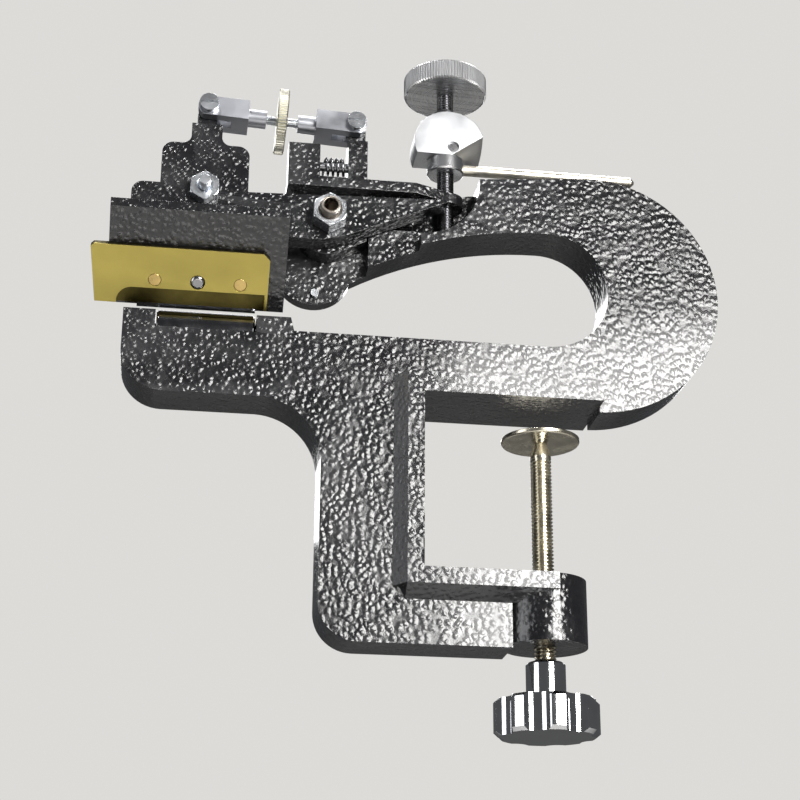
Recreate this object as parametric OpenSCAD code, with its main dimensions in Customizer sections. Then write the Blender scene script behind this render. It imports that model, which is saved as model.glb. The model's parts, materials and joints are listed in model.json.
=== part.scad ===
// Clamp-on leather splitting machine: a cast C-frame that is screwed to a bench edge, a hard steel
// roller in its lower arm, and a razor blade held at a slant above that roller.
// Millimetres, +Z up, X along the arm, -Y towards the user.
// The origin is the centre of the jaw face that rests on the bench.

/* [Frame casting] */
// Depth of the flat C-shaped web, front to back
web_depth = 18; // [16:0.5:20]
// Depth of the clamp jaw and its rib, front to back
jaw_depth = 30; // [28:0.5:36]
// Length of the jaw face that rests on the bench
jaw_len = 61; // [56:1:68]
// Height of the clamp opening
jaw_gap = 60; // [50:1:66]
// Thickness of the jaw above the bench
jaw_rib_t = 7; // [6:0.5:9]
// Thickness of the raised rib down the column and along the foot
foot_rib_t = 5.5; // [4:0.5:7]
// How far the rib's slanted side spreads to the web
rib_draft = 4; // [2:0.5:6]
// Width of the column behind the clamp opening
column_w = 33.5; // [30:0.5:38]
// Height of the foot, from the opening down
foot_h = 24; // [22:0.5:28]
// Outer radius of the C bend
bend_r = 44.5; // [42:0.5:47]
// Radius of the throat's round end
throat_r = 21.5; // [20:0.5:22.5]
// Height of the centre of the bend above the jaw face
bend_z = 42.5; // [41:0.5:44]
// Distance of the bend's centre from the middle of the jaw face
bend_x = 30; // [28:0.5:32]
// Wall of the bend at its widest, to the right of the throat
bend_wall = 39.5; // [36:0.5:41]
// Height of the two lugs above the floor of the throat
lug_h = 4.8; // [4:0.2:5.4]

/* [Clamp screw] */
// Diameter of the clamp screw
screw_d = 7.2; // [6:0.2:8]
// Distance of the screw from the middle of the jaw face
screw_x = 11.5; // [9:0.5:14]
// Diameter of the boss around the screw
boss_d = 28; // [26:0.5:30]
// Height of the boss below the opening
boss_h = 22; // [20:0.5:24]
// Distance from the jaw face down to the pad
pad_drop = 10; // [8:0.5:14]
// Diameter of the swivel pad
pad_d = 26.7; // [24:0.5:28]
// Thickness of the swivel pad
pad_t = 1.6; // [1.4:0.1:2.2]
// Bare screw between the boss and the knob's shank
screw_gap = 4.8; // [4:0.2:8]
// Diameter of the clamp knob's shank
shank_d = 13; // [11:0.5:14]
// Height of the clamp knob's shank
shank_h = 12; // [10:0.5:14]
// Diameter of the clamp knob over its lobes
clamp_knob_d = 34.4; // [32:0.4:38]
// Height of the clamp knob's lobed head
clamp_knob_h = 12; // [10:0.5:14]
// Number of lobes on the clamp knob
clamp_lobes = 8; // [6:1:10]

/* [Roller] */
// Diameter of the roller
roller_d = 14; // [13:0.5:14.5]
// Length of the roller
roller_len = 33; // [31:0.5:34]
// Height of the roller's top above the lugs
roller_rise = 3; // [2.4:0.2:3.4]
// Width of the lug at the left of the roller
left_lug_w = 10.7; // [9:0.1:12]
// Width of the lug at its right
right_lug_w = 12.5; // [11:0.5:14]
// Diameter of the roller's axle
axle_d = 5; // [4:0.5:6]

/* [Blade head] */
// Gap between the blade's edge and the roller
blade_gap = 1.6; // [1.2:0.1:2]
// Slant of the blade from level
blade_slant = 45; // [43:0.5:47]
// Length of the razor blade
blade_len = 43; // [42:0.5:44]
// Width of the razor blade across its two edges
blade_w = 22; // [21.5:0.1:22.5]
// Thickness of the razor blade
blade_t = 0.2; // [0.1:0.05:0.3]
// Distance between the two pins that hold the blade
pin_pitch = 28.6; // [28:0.1:29]
// Length of the brass clamp plate
plate_len = 59.5; // [58:0.5:61]
// Thickness of the brass clamp plate
plate_t = 3; // [2.6:0.1:3.6]
// Height of the brass clamp plate along its slant
plate_h = 21.5; // [20:0.5:22]
// Thickness of the upright plate of the blade holder
holder_t = 8; // [7.5:0.1:8.2]
// Distance of the tower's middle from the middle of the jaw face
tower_x = 106.5; // [105:0.5:108]
// Width of the tower's shoulder
shoulder_w = 30; // [28:0.5:32]
// Width of the tower's neck
neck_w = 10.6; // [9.6:0.2:11]
// Distance of the pivot from the middle of the jaw face
pivot_x = 63.7; // [63:0.1:64.4]
// Height of the pivot above the jaw face
pivot_z = 62.8; // [62.4:0.1:63.4]
// Diameter of the hollow pivot bolt
pivot_d = 6.6; // [6:0.2:7]
// Bore of the hollow pivot bolt
pivot_bore_d = 4.8; // [3:0.2:5]
// Nut size of the pivot, across its flats
pivot_nut_af = 11; // [10:0.5:12]
// Nut size on the tower, across its flats
tower_nut_af = 9.6; // [9:0.2:10]
// Thickness of the pivot nut
pivot_nut_t = 6.3; // [5:0.1:7]

/* [Lift arm] */
// Thickness of the arm's level bar
bar_t = 4; // [3.6:0.1:4.4]
// Height of the bar's underside above the pivot
bar_rise = 12; // [11.8:0.1:12.6]
// Depth of the bar, front to back
bar_depth = 16; // [15.6:0.1:16.4]
// Width of the left post
left_post_w = 11; // [10:0.2:11.4]
// Width of the right post
right_post_w = 6.8; // [6.4:0.2:7.2]
// Clear length between the posts
post_gap = 9.8; // [9:0.2:10.4]
// Height of the left post above the bar
left_post_h = 12.5; // [11.5:0.5:13]

/* [Post spring] */
// Diameter of the spring's wire
spring_wire = 1; // [0.8:0.1:1.2]
// Mean diameter of the spring's coil
spring_mean_d = 6; // [5.6:0.1:6.4]
// Number of turns of the spring
spring_turns = 4; // [3:1:4]

/* [Turnbuckle] */
// Height of the left clevis pin above the pivot
left_pin_rise = 39.5; // [39:0.5:40.5]
// Height of the right clevis pin above the pivot
right_pin_rise = 36.8; // [36.2:0.2:37.4]
// Height of each clevis
clevis_h = 7.4; // [7:0.2:8]
// Depth of each clevis, front to back (mm)
clevis_w = 11.6; // [10:0.2:12.4]
// Slot of the clevises
clevis_slot = 4.4; // [4:0.2:4.8]
// Diameter of the clevis pins' shanks
clevis_pin_d = 3; // [2.6:0.2:3.2]
// Diameter of the round neck of each clevis
clevis_neck_d = 6.4; // [6:0.2:6.8]
// Diameter of the threaded rod
rod_d = 3.4; // [3:0.2:4]
// Diameter of the knurled wheel
wheel_d = 23; // [21:0.5:24]
// Thickness of the knurled wheel
wheel_t = 3.5; // [3:0.25:3.75]

/* [Thickness screw] */
// Distance of the spindle from the middle of the jaw face
spindle_x = 21; // [20.6:0.1:21.4]
// Diameter of the spindle
spindle_d = 6; // [5.6:0.2:6.2]
// Height of the frame's seat for the spindle's tip
seat_z = 64; // [63.5:0.25:64.5]
// Diameter of the knurled knob
knob_d = 30; // [27:0.5:32]
// Height of the knurled knob
knob_h = 7.4; // [6.5:0.1:8.5]
// Diameter of the round block under the knob
block_d = 25.2; // [24:0.2:26]
// Length of the block, front to back
block_len = 12; // [11:0.5:13]
// Height of the block's flat underside above the top of the bend
block_flat_rise = 7.2; // [7:0.1:8]
// Height of the block's middle above its flat underside
block_centre_rise = 4.8; // [4.4:0.1:5.4]
// Diameter of the lever's collar
collar_d = 13.2; // [12:0.2:14]
// Height of the lever's collar
collar_h = 5.3; // [5:0.1:5.6]
// Diameter of the lever rod
lever_d = 4; // [3.6:0.1:4.4]
// Reach of the lever rod from the spindle
lever_reach = 69.5; // [60:0.5:76]

/* [Hidden] */

$fn = 72;
eps = 0.01;
rest_gap = 0.3;      // free gap between pieces that rest or slide on each other
nut_sink = 0.9;      // countersink at the front of each nut
slip = 0.05;         // radial clearance of a running fit
thread_play = 0.12;  // radial clearance in the turnbuckle's sockets
cut = 200;           // longer than the whole object, for cutting blocks
cast_black = [0.07, 0.07, 0.075];
steel = [0.72, 0.73, 0.75];
brass_gold = [0.80, 0.66, 0.30];
nickel = [0.80, 0.78, 0.70];

web_y = web_depth / 2;
jaw_y = jaw_depth / 2;
jaw_x = jaw_len / 2;
column_x = -jaw_x - column_w;
foot_z = -jaw_gap - foot_h;
throat_z = bend_z - throat_r;
throat_x = bend_x + bend_r - bend_wall - throat_r;
bend_top_z = bend_z + bend_r;
throat_top_z = bend_z + throat_r;
arm_corner_r = 14;   // round lower corner at the arm's left end
armpit_r = 22;       // round corner between the arm and the column
foot_corner_r = 13;  // round corner at the bottom of the column
toe_r = 9;           // round corner at the toe of the foot

pivot = [-pivot_x, pivot_z];
tail_front = -12;                          // front face of the tail and the tower
tail_back = tail_front + holder_t;
plate_back = tail_back + rest_gap;         // front face of the lift arm's upright plate
tongue_front = 4.2;                        // front face of the thin rear tongue
arm_plate_t = tongue_front - rest_gap - plate_back;
tongue_r = 12.5;                           // round end of the rear tongue about the pivot
lobe_r = 13.5;                             // round lower end of the rear tongue
step_x = -pivot_x + tongue_r + 2.5;        // where the tongue steps forward again
step_front = tail_back + 2 * rest_gap;     // front face of the tongue to the right of that step
lobe_at = [-pivot_x - 3.3, pivot_z - 12.4];
dowel_at = [lobe_at.x + 0.5, lobe_at.y - lobe_r + 4.2];
lobe_drop = 0.5;                           // how far the lobe hangs below the throat's curve
throat_fall = throat_top_z - (lobe_at.y - lobe_r + lobe_drop);
throat_run = throat_x - lobe_at.x;
throat_top_r = (pow(throat_fall, 2) + pow(throat_run, 2)) / (2 * throat_fall);
dowel_r = 1.4;

recess_r = 21;                             // round end of the recess for the head
recess_at = [-31, 82];

roller_off = 3;                            // roller's middle, to the right of the tower's
roller_r = roller_d / 2;
lug_z = throat_z + lug_h;
roller_z = lug_z + roller_rise - roller_r;
slot_left = -tower_x + roller_off - roller_len / 2 - rest_gap;
arm_x = slot_left - left_lug_w;
slot_right = slot_left + roller_len + 2 * rest_gap;
lug_right = slot_right + right_lug_w;
lug_wall = 1;                              // least wall of the right lug beside the slot
axle_bite = 7;                             // depth of the axle's blind end in that lug
slot_floor = throat_z - 1.2;

edge_z = roller_z + roller_r + blade_gap;  // height of the blade's working edge
blade_x = -tower_x - 0.5;
along = [cos(blade_slant), sin(blade_slant)];  // up the slant, forwards and up

tail_tip = [-spindle_x - 0.8, pivot_z + 9.3];
bar_z = pivot_z + bar_rise;
bar_top = bar_z + bar_t;
bar_front = tail_front;
bar_back = bar_front + bar_depth;
bar_end_r = 6.2;                           // round end of the bar about the spindle
spindle_y = -0.5;
left_post_x = -pivot_x - 14.3;
right_post_x = left_post_x + left_post_w + post_gap;
post_y = tail_front + holder_t / 2;        // middle of the tower, the posts and the turnbuckle
ear_t = clevis_slot - 2 * rest_gap;        // tower neck and right post inside a clevis

left_pin = [-tower_x + 0.2, pivot_z + left_pin_rise];
right_pin = [right_post_x + right_post_w / 2 - 1, pivot_z + right_pin_rise];
link_run = right_pin.x - left_pin.x;
link_drop = left_pin.y - right_pin.y;
link_len = norm([link_run, link_drop]);
link_angle = atan2(link_drop, link_run);
clevis_bar_len = 14;                       // square part, from the pin to the neck
clevis_neck_len = 6.2;
neck_end = clevis_bar_len + clevis_neck_len;
clevis_end_r = clevis_h / 2 + 0.9;         // rounded end of each clevis
clevis_end_in = clevis_end_r - clevis_h / 2;
rod_bite = 3.5;                            // thread that sits in each clevis neck
wheel_at = link_len / 2 - 0.2;

block_flat_z = bend_top_z + block_flat_rise;
block_z = block_flat_z + block_centre_rise;
block_r = block_d / 2;
collar_top = block_flat_z - rest_gap;
collar_z = collar_top - collar_h;
lever_z = collar_z + collar_h / 2;
knob_z = block_z + block_r + 9;
knob_bore = 3;                             // depth of the knob's blind bore
collar_bead_t = 1.6;

post_spring_gap = 0.5;                     // free end gap of the spring

// A cylinder along Y from y0 to y1 at (x, z)
module rod_y(r, at, y0, y1, n = 72) {
    translate([at.x, y1, at.y]) rotate([90, 0, 0]) cylinder(r = r, h = y1 - y0, $fn = n);
}

// A cylinder along X from x0 to x1 at (y, z)
module rod_x(r, at, x0, x1, n = 72) {
    translate([x0, at.x, at.y]) rotate([0, 90, 0]) cylinder(r = r, h = x1 - x0, $fn = n);
}

// A flat shape drawn in X and Z, standing from y0 to y1
module upright(y0, y1) {
    translate([0, y1, 0]) rotate([90, 0, 0]) linear_extrude(y1 - y0) children();
}

// A box from one corner to the other
module block(lo, hi) {
    translate(lo) cube(hi - lo);
}

// A hexagonal prism along Z, measured across its flats
module hexagon(af, h) {
    cylinder(d = af / cos(30), h = h, $fn = 6);
}

// A hexagonal nut along Y whose front face is at y0
module nut_y(af, hole_r, at, y0, y1) {
    difference() {
        intersection() {
            translate([at.x, y1, at.y]) rotate([90, 30, 0]) hexagon(af, y1 - y0);
            translate([at.x, y1 + eps, at.y]) rotate([90, 0, 0])
                cylinder(r1 = af / 2 + (y1 - y0) * 2, r2 = af / 2, h = y1 - y0 + 2 * eps);
        }
        rod_y(hole_r, at, y0 - 1, y1 + 1);
        translate([at.x, y0 + nut_sink, at.y]) rotate([90, 0, 0])
            cylinder(r1 = hole_r, r2 = hole_r + nut_sink + 1, h = nut_sink + 1);
    }
}

// Material left in a square inside corner by a round corner, for a corner at the origin
// whose open side points to -x and -z
module inside_corner(r) {
    difference() {
        translate([-r, -r]) square(r + eps);
        translate([-r, -r]) circle(r);
    }
}

// A cog-shaped outline with fine straight knurls
module knurl(d, depth, count) {
    polygon([for (i = [0 : 2 * count - 1])
        let (a = 180 * i / count, r = d / 2 - (i % 2) * depth) [r * cos(a), r * sin(a)]]);
}

// ---------------------------------------------------------------- frame

// Front outline of the whole web, before the throat is opened
module web_outline() {
    difference() {
        union() {
            // lower arm with its round left corner
            translate([arm_x + arm_corner_r, -3]) square([bend_x - arm_x - arm_corner_r, throat_z + 3]);
            translate([arm_x, arm_corner_r - 3]) square([arm_corner_r, throat_z + 3 - arm_corner_r]);
            translate([arm_x + arm_corner_r, arm_corner_r - 3]) circle(arm_corner_r);
            // lugs that carry the roller
            translate([arm_x, arm_corner_r]) square([slot_left - arm_x, lug_z - arm_corner_r]);
            translate([slot_right, 0]) square([lug_right - slot_right, lug_z]);
            // bend and upper arm
            translate([bend_x, bend_z]) circle(bend_r, $fn = 120);
            translate([bend_x - bend_r, 0]) square([bend_r, throat_z + 8]);
            upper_arm_outline();
            // column and foot
            translate([column_x, foot_z + foot_corner_r])
                square([column_w, -foot_z - foot_corner_r]);
            translate([column_x + foot_corner_r, foot_z])
                square([screw_x - 12.5 - column_x - foot_corner_r - toe_r, foot_h + 1]);
            translate([column_x + foot_corner_r, foot_z + foot_corner_r]) circle(foot_corner_r);
            translate([screw_x - 12.5 - toe_r, foot_z]) square([toe_r, foot_h - toe_r]);
            translate([screw_x - 12.5 - toe_r, foot_z + foot_h - toe_r - eps]) circle(toe_r);
            // round corner under the lower arm
            translate([column_x + eps, -3 + eps]) inside_corner(armpit_r);
        }
        translate([-jaw_x, -jaw_gap]) square([2 * jaw_x, jaw_gap]);
        throat_outline();
        // flat end of the lower arm's floor between lug and throat
        translate([lug_right, throat_z]) square([throat_x - lug_right, lug_h + 1]);
    }
    // lobe of the tongue, which hangs below the throat's curve
    translate(lobe_at) circle(lobe_r);
}

// The top runs down from the bend to the thin end about the pivot
module upper_arm_outline() {
    top_left = pivot + [-tongue_r * 0.2, tongue_r];
    polygon([[bend_x, bend_top_z], [-12, bend_top_z - 3.5], [-34, bend_top_z - 10], top_left,
        pivot + [-tongue_r, 0], lobe_at + [-lobe_r, 0], lobe_at + [0, -lobe_r],
        [bend_x, bend_z]]);
    translate(pivot) circle(tongue_r);
}

module throat_outline() {
    translate([throat_x, bend_z]) circle(throat_r, $fn = 120);
    intersection() {
        translate([throat_x, throat_top_z - throat_top_r]) circle(throat_top_r, $fn = 360);
        translate([slot_right + lug_wall, throat_z])
            square([throat_x - slot_right - lug_wall, throat_top_z - throat_z + lug_h]);
    }
}

// The raised rib around the clamp opening, with slanted outer sides
module jaw_rib() {
    rib_y = jaw_y;
    // jaw above the bench, with a round right end
    block([-jaw_x - foot_rib_t, -rib_y, 0], [jaw_x - jaw_rib_t / 2, rib_y, jaw_rib_t]);
    rod_y(jaw_rib_t / 2, [jaw_x - jaw_rib_t / 2, jaw_rib_t / 2], -rib_y, rib_y);
    block([jaw_x - jaw_rib_t / 2, -rib_y, 0], [jaw_x, rib_y, jaw_rib_t / 2]);
    // down the column
    translate([0, 0, -jaw_gap - foot_rib_t]) linear_extrude(jaw_gap + foot_rib_t + jaw_rib_t)
        polygon([[-jaw_x, -rib_y], [-jaw_x, rib_y], [-jaw_x - foot_rib_t, rib_y],
            [-jaw_x - foot_rib_t - rib_draft, web_y - eps],
            [-jaw_x - foot_rib_t - rib_draft, -web_y + eps], [-jaw_x - foot_rib_t, -rib_y]]);
    // along the foot
    translate([-jaw_x - foot_rib_t, 0, 0]) rotate([90, 0, 90])
        linear_extrude(screw_x + jaw_x + foot_rib_t)
        polygon([[-rib_y, -jaw_gap], [rib_y, -jaw_gap], [rib_y, -jaw_gap - foot_rib_t],
            [web_y - eps, -jaw_gap - foot_rib_t - rib_draft],
            [-web_y + eps, -jaw_gap - foot_rib_t - rib_draft], [-rib_y, -jaw_gap - foot_rib_t]]);
    // boss around the screw
    translate([screw_x, 0, -jaw_gap - boss_h]) cylinder(d = boss_d, h = boss_h);
    block([screw_x - eps, -rib_y, -jaw_gap - foot_rib_t], [screw_x + 2, rib_y, -jaw_gap]);
}

// Space for the head: round at its right end, open to the left
module recess_outline() {
    translate(recess_at) circle(recess_r);
    translate([arm_x - 1, throat_z + lug_h + 2]) square([recess_at.x - arm_x + 1, cut]);
}

module head_recess() {
    upright(-jaw_y, step_front) recess_outline();
    intersection() {
        upright(-jaw_y, tongue_front) recess_outline();
        block([-cut, -cut, seat_z], [cut, cut, cut]);
    }
    block([-cut, -jaw_y, throat_z + lug_h + 2], [step_x, tongue_front, cut]);
    translate([-spindle_x, spindle_y, seat_z]) cylinder(d = spindle_d + 2.4, h = cut);
}

module frame_casting() {
    color(cast_black) difference() {
        union() {
            upright(-web_y, web_y) web_outline();
            jaw_rib();
        }
        head_recess();
        // pocket for the roller
        rod_x(roller_r + 0.6, [0, roller_z], slot_left, slot_right);
        block([slot_left, -jaw_y, slot_floor], [slot_right, jaw_y, lug_z + 1]);
        // axle bore, open at the left lug only
        rod_x(axle_d / 2, [0, roller_z], arm_x - 1, slot_right + axle_bite);
        // pivot bore and dowel hole in the rear tongue
        rod_y(pivot_d / 2, pivot, -jaw_y, jaw_y);
        rod_y(dowel_r, dowel_at, -jaw_y, jaw_y);
        // screw bore
        translate([screw_x, 0, -jaw_gap - boss_h - 1]) cylinder(d = screw_d + 2 * slip, h = boss_h + 2);
    }
}

// ---------------------------------------------------------------- roller

module roller_axle() {
    color(steel) rod_x(axle_d / 2 - eps, [0, roller_z], arm_x + 1, slot_right + axle_bite);
}

module roller() {
    color(steel) difference() {
        union() {
            rod_x(roller_r, [0, roller_z], slot_left + rest_gap + 0.5, slot_right - rest_gap - 0.5);
            rod_x(roller_r - 0.5, [0, roller_z], slot_left + rest_gap, slot_right - rest_gap);
        }
        rod_x(axle_d / 2 + slip, [0, roller_z], slot_left - 1, slot_right + 1);
    }
}

// ---------------------------------------------------------------- clamp screw

pad_z = -pad_drop - pad_t;
tip_d = screw_d * 0.6;
neck_h = 5;
shank_top = -jaw_gap - boss_h - screw_gap;

module swivel_pad() {
    color(nickel) difference() {
        union() {
            translate([screw_x, 0, pad_z]) cylinder(d1 = pad_d - 0.8, d2 = pad_d, h = 0.5);
            translate([screw_x, 0, pad_z + 0.5]) cylinder(d = pad_d, h = pad_t - 0.5);
        }
        translate([screw_x, 0, pad_z - 1]) cylinder(d = tip_d + 2 * slip, h = pad_t + 2);
        translate([screw_x, 0, pad_z + pad_t - 0.6]) cylinder(d = tip_d + 3, h = 1);
    }
}

module clamp_screw() {
    color(nickel) translate([screw_x, 0, 0]) {
        translate([0, 0, shank_top]) cylinder(d = screw_d, h = pad_z - neck_h - shank_top);
        translate([0, 0, pad_z - neck_h - eps])
            cylinder(d1 = screw_d, d2 = tip_d + 1.4, h = neck_h + eps - 0.2);
        translate([0, 0, pad_z - 0.3]) cylinder(d = tip_d, h = pad_t - 0.1);
        // riveted end in the pad's counterbore
        translate([0, 0, pad_z + pad_t - 0.5]) cylinder(d = tip_d + 2, h = 0.4);
    }
}

module clamp_knob() {
    head_z = shank_top - shank_h - clamp_knob_h;
    flute_r = clamp_knob_d * 0.155;
    color(steel) translate([screw_x, 0, 0]) {
        translate([0, 0, head_z + clamp_knob_h - eps]) cylinder(d = shank_d, h = shank_h - 0.8 + eps);
        translate([0, 0, shank_top - 0.8 - eps])
            cylinder(d1 = shank_d, d2 = shank_d - 1.6, h = 0.8);
        translate([0, 0, head_z]) difference() {
            union() {
                translate([0, 0, 1.2]) cylinder(d = clamp_knob_d, h = clamp_knob_h - 2.4);
                cylinder(d1 = clamp_knob_d - 3, d2 = clamp_knob_d, h = 1.2 + eps);
                translate([0, 0, clamp_knob_h - 1.2 - eps])
                    cylinder(d1 = clamp_knob_d, d2 = clamp_knob_d - 3, h = 1.2 + eps);
            }
            for (i = [0 : clamp_lobes - 1])
                rotate(360 * (i + 0.5) / clamp_lobes)
                translate([clamp_knob_d / 2 + flute_r * 0.45, 0, -1])
                    cylinder(r = flute_r, h = clamp_knob_h + 2);
        }
    }
}

// ---------------------------------------------------------------- lift arm

// The level bar, its posts, and the upright plate that hangs on the pivot
module lift_arm() {
    post_top = right_pin.y + 3.6;
    plate_r = 9.8;
    color(cast_black) difference() {
        union() {
            // level bar, tapered to a round end about the spindle
            translate([0, 0, bar_z]) linear_extrude(bar_t) {
                polygon([[left_post_x, bar_front], [-spindle_x - 12, bar_front],
                    [-spindle_x, spindle_y - bar_end_r], [-spindle_x, spindle_y + 4.5],
                    [-spindle_x - 12, bar_back], [left_post_x, bar_back]]);
                intersection() {
                    translate([-spindle_x, spindle_y]) circle(bar_end_r);
                    translate([-spindle_x - 1, spindle_y - 7]) square([9, 11.5]);
                }
            }
            // plate behind the tail, about the pivot
            upright(plate_back, plate_back + arm_plate_t) {
                translate(pivot) circle(plate_r);
                polygon([[pivot.x - plate_r, pivot.y], [pivot.x - plate_r, bar_z + eps],
                    [step_x - 2 * rest_gap, bar_z + eps], [step_x - 2 * rest_gap, pivot.y - 4],
                    pivot + plate_r * [sin(24), -cos(24)]]);
            }
            // left post
            upright(post_y - 4, post_y + 4)
                translate([left_post_x, bar_top - eps]) square([left_post_w, left_post_h]);
            // right post, thinned where it goes into the clevis
            upright(post_y - 4, post_y + 4)
                translate([right_post_x, bar_top - eps]) square([right_post_w, 15]);
            upright(post_y - ear_t / 2, post_y + ear_t / 2) {
                translate([right_post_x, bar_top]) square([right_post_w - 0.6, right_pin.y - bar_top]);
                translate(right_pin) circle(3.2);
            }
        }
        rod_y(pivot_d / 2 + slip, pivot, -jaw_y, jaw_y);
        rod_y(clevis_pin_d / 2, right_pin, -jaw_y, jaw_y);
        // long hole for the spindle, which stays upright while the bar tips
        for (x = [-spindle_x - 1.6, -spindle_x + 0.1])
            translate([x, spindle_y, bar_z - 1]) cylinder(d = spindle_d + 0.6, h = bar_t + 2);
        block([-spindle_x - 1.6, spindle_y - spindle_d / 2 - 0.3, bar_z - 1],
            [-spindle_x + 0.1, spindle_y + spindle_d / 2 + 0.3, bar_top + 1]);
        // hole for the pin that carries the spring
        rod_x(spring_pin_r, [post_y, spring_z], left_post_x + 3, cut);
    }
}

spring_pin_r = 1.6;
spring_z = bar_top + 5.6;

module spring_pin() {
    color(steel) rod_x(spring_pin_r - eps, [post_y, spring_z], left_post_x + 3,
        right_post_x + right_post_w - 0.4);
}

module arm_dowel() {
    color(steel) rod_y(dowel_r - eps, dowel_at, tongue_front - 1.2, web_y);
}

module pivot_bolt() {
    color(steel) difference() {
        union() {
            rod_y(pivot_d / 2 - eps, pivot, tail_front - 10, web_y + 1);
            translate([pivot.x, web_y + 4.5, pivot.y]) rotate([90, 30, 0]) hexagon(pivot_nut_af, 4.5);
        }
        rod_y(pivot_bore_d / 2, pivot, tail_front - 11, tail_front + 4);
    }
}

module pivot_nut() {
    color(steel) nut_y(pivot_nut_af, pivot_d / 2, pivot, tail_front - rest_gap - pivot_nut_t,
        tail_front - rest_gap);
}

// ---------------------------------------------------------------- spring

// Rings of six points follow the coil; the first and last run straight into the posts
spring_x0 = left_post_x + left_post_w + post_spring_gap;
spring_x1 = right_post_x - post_spring_gap;
spring_steps = 8 * spring_turns;
spring_path = [for (i = [0 : spring_steps])
    let (t = i / spring_steps, a = 360 * spring_turns * t, r = spring_mean_d / 2)
    [spring_x0 + spring_wire + (spring_x1 - spring_x0 - 2 * spring_wire) * t,
        post_y + r * sin(a), spring_z - r * cos(a)]];
spring_first = spring_path[0];
spring_last = spring_path[spring_steps];
spring_route = concat(
    [[spring_x0 - post_spring_gap + 0.3, spring_first.y, spring_first.z],
        [spring_x0 + spring_wire * 0.4, spring_first.y, spring_first.z]],
    [for (i = [1 : spring_steps - 1]) spring_path[i]],
    [[spring_x1 - spring_wire * 0.4, spring_last.y, spring_last.z],
        [spring_x1 + post_spring_gap - 0.3, spring_last.y, spring_last.z]]);

function unit(v) = v / norm(v);
function ring(points, i) =
    let (last = len(points) - 1,
        fore = points[min(i + 1, last)],
        aft = points[max(i - 1, 0)],
        dir = unit(fore - aft),
        out = unit(points[i] - [points[i].x, post_y, spring_z]),
        side = unit(cross(dir, out)),
        up = cross(side, dir))
    [for (k = [0 : 5]) points[i] + spring_wire / 2 * (cos(60 * k) * side + sin(60 * k) * up)];

module post_spring() {
    rings = [for (i = [0 : len(spring_route) - 1]) ring(spring_route, i)];
    count = len(rings);
    points = [for (r = rings) for (p = r) p];
    faces = concat(
        [for (k = [1 : 4]) [0, k, k + 1]],
        [for (k = [1 : 4]) [6 * count - 6, 6 * count - 6 + k + 1, 6 * count - 6 + k]],
        [for (i = [0 : count - 2]) for (k = [0 : 5])
            [6 * i + k, 6 * (i + 1) + k, 6 * (i + 1) + (k + 1) % 6]],
        [for (i = [0 : count - 2]) for (k = [0 : 5])
            [6 * i + k, 6 * (i + 1) + (k + 1) % 6, 6 * i + (k + 1) % 6]]);
    color(steel) polyhedron(points, faces);
}

// Least gap between turns, between points more than half a turn apart along the wire
spring_gap = min([for (i = [2 : spring_steps]) for (j = [i + 5 : 1 : spring_steps])
    norm(spring_path[i] - spring_path[j]) - spring_wire]);
echo(spring_least_gap = spring_gap);

// ---------------------------------------------------------------- blade head

wedge_len = 59.5;
wedge_left = 30.5;       // its left end from the middle of the tower

// Wedge over the blade, seen from its left end in Y and Z
module wedge_outline() {
    low = 0.9;
    high = 35;
    polygon([[-low * along.x, edge_z + low * along.y], [-high * along.x, edge_z + high * along.y],
        [-high * along.x, edge_z + high * along.y + 3], [tail_front, edge_z + high * along.y + 4.2],
        [tail_back, edge_z + high * along.y + 4.2], [tail_back, edge_z + 9],
        [-low * along.x + 0.4, edge_z + low * along.y + 2]]);
}

module tower_outline() {
    step_z = pivot_z + 9;
    wing_z = pivot_z + 25;
    mid = -tower_x;
    low_l = mid - 24.5;
    base_z = edge_z + 26;
    half = shoulder_w / 2;
    corner = 4;
    translate([low_l, base_z]) square([24.5 + half, step_z - base_z - corner]);
    translate([low_l + corner, base_z]) square([24.5 + half - corner, step_z - base_z]);
    translate([low_l + corner, step_z - corner]) circle(corner);
    translate([mid - half, base_z]) square([2 * half, wing_z - base_z - corner]);
    translate([mid - half + corner, base_z]) square([2 * half - 2 * corner, wing_z - base_z]);
    translate([mid - half + corner, wing_z - corner]) circle(corner);
    translate([mid + half - corner, wing_z - corner]) circle(corner);
    // round rise from the shoulder to the neck
    for (s = [-1, 1])
        translate([mid + s * neck_w / 2, wing_z]) mirror([s > 0 ? 1 : 0, 0]) mirror([0, 1])
        translate([eps, eps]) inside_corner(3);
}

module tail_outline() {
    low = pivot_z - 8.5;
    polygon([[-tower_x, low], [-pivot_x - 14, low], [-pivot_x - 2, low], [-pivot_x + 7, low + 2.4],
        [-pivot_x + 24, low + 10], tail_tip, [tail_tip.x - 1, tail_tip.y + 0.8],
        [-tower_x, pivot_z + 7]]);
}

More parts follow.
